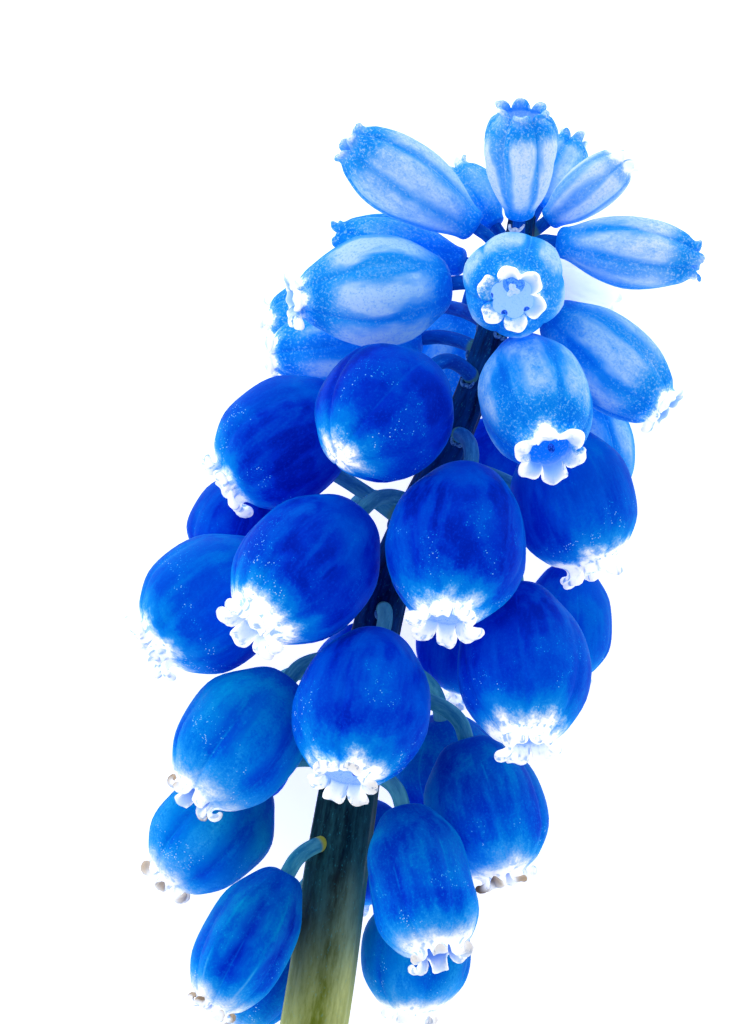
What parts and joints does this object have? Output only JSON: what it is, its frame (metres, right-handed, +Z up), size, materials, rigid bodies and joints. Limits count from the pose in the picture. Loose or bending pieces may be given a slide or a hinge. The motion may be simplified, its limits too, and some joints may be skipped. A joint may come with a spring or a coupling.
{
  "type": "grape hyacinth flower",
  "caption": "Picked grape hyacinth flower lying on its side: a raceme of nodding, urn-shaped blue florets on short arching pedicels round a cut green stem.",
  "frame": {"origin": "on the surface the flower lies on, below the middle of its bounding box", "axes": "+Y along the flower from the cut end of the stem towards the tip of the raceme, +Z up from the surface, +X across"},
  "size_m": [0.0185, 0.0623, 0.0126],
  "materials": {
    "stem": "waxy plant stem, olive green at the foot to blue-black at the top",
    "bud_petals": "pale sky-blue petal with darker veins",
    "young_petals": "mid-blue petal, paler along the middle and white at the mouth",
    "ripe_petals": "waxy cobalt petal, fading to a white mouth",
    "old_petals": "waxy cobalt petal with browning lobe tips"
  },
  "bodies": {
    "root": {"flower_stem": "stem", "floret_01": "bud_petals", "floret_02": "bud_petals", "floret_03": "bud_petals", "floret_04": "bud_petals", "floret_05": "bud_petals", "floret_06": "bud_petals", "floret_07": "bud_petals", "floret_08": "bud_petals", "floret_09": "young_petals", "floret_10": "young_petals", "floret_11": "young_petals", "floret_12": "young_petals", "floret_13": "young_petals", "floret_14": "young_petals", "floret_15": "young_petals", "floret_16": "young_petals", "floret_17": "ripe_petals", "floret_18": "ripe_petals", "floret_19": "ripe_petals", "floret_20": "ripe_petals", "floret_21": "ripe_petals", "floret_22": "ripe_petals", "floret_23": "ripe_petals", "floret_24": "ripe_petals", "floret_25": "ripe_petals", "floret_26": "ripe_petals", "floret_27": "ripe_petals", "floret_28": "ripe_petals", "floret_29": "ripe_petals", "floret_30": "ripe_petals", "floret_31": "old_petals", "floret_32": "old_petals", "floret_33": "old_petals", "floret_34": "old_petals", "floret_35": "old_petals", "floret_36": "old_petals", "floret_37": "old_petals", "floret_38": "old_petals", "floret_39": "old_petals", "floret_40": "old_petals"}
  },
  "joints": []
}
